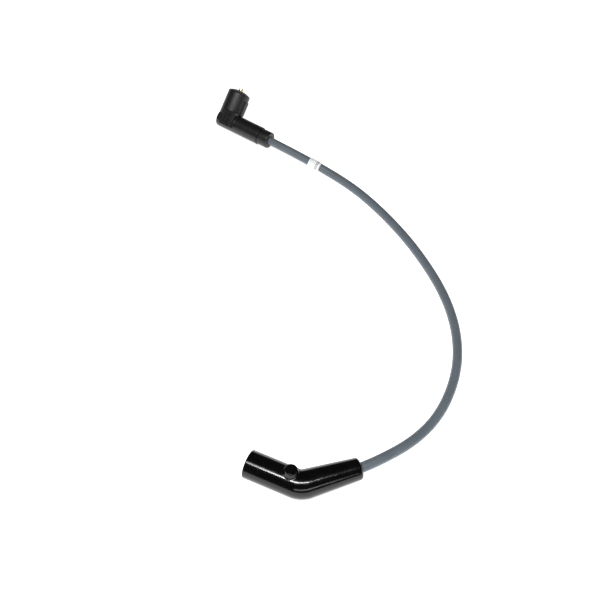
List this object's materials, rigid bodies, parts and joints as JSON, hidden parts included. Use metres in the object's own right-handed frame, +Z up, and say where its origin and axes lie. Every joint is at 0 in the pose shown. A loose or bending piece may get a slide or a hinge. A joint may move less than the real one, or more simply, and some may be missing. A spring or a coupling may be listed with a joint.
{
  "type": "ignition lead",
  "caption": "High-tension ignition lead: elbow boot with a spring socket, silicone cable with a marker sleeve, and a right-angle resistor plug with a split contact pin.",
  "frame": {"origin": "centre of the elbow boot's mouth, where the electrode goes in", "axes": "+X runs from the mouth into the boot's barrel, +Z is up; the lead lies on a table at z = -9.7 mm, with the cable curving round on the +Y side"},
  "size_m": [0.2785, 0.3248, 0.0337],
  "materials": {
    "boot_silicone": "glossy moulded silicone",
    "pressed_brass": "pressed sheet, satin",
    "spring_steel": "drawn wire",
    "cable_silicone": "satin silicone",
    "glass_braid": "woven glass fibre",
    "core_insulation": "satin silicone",
    "copper_strand": "stranded tinned copper",
    "marker_plastic": null,
    "plug_moulding": "moulded, satin, fine grip ribs",
    "cap_rubber": "satin rubber",
    "pin_brass": "turned",
    "insert_plastic": "moulded",
    "resistor_ceramic": "unglazed rod",
    "seal_rubber": "soft rubber"
  },
  "bodies": {
    "lead": {"electrode_boot": "boot_silicone", "socket_terminal": "pressed_brass", "snap_spring": "spring_steel", "cable_jacket": "cable_silicone", "cable_braid": "glass_braid", "cable_insulation": "core_insulation", "cable_core": "copper_strand"},
    "plug": {"plug_body": "plug_moulding", "tower_cap": "cap_rubber", "contact_pin": "pin_brass", "pin_insert": "insert_plastic", "pin_washer": "spring_steel", "plug_resistor": "resistor_ceramic", "resistor_cap_upper": "pressed_brass", "resistor_cap_lower": "pressed_brass", "contact_spring": "spring_steel", "corner_contact": "pin_brass", "cable_screw": "spring_steel", "entry_seal": "seal_rubber"},
    "marker": {"marker_sleeve": "marker_plastic"}
  },
  "joints": [
    {"name": "plug_swivel", "type": "hinge", "parent": "lead", "child": "plug", "pos_m": [-0.12273, 0.28231, -0.00055], "axis": [0.9818, -0.19, 0], "range_deg": [-20, 110]},
    {"name": "marker_slide", "type": "slide", "parent": "lead", "child": "marker", "axis": [0.9812, -0.1712, -0.0891], "range_m": [-0.008, 0.004]}
  ]
}
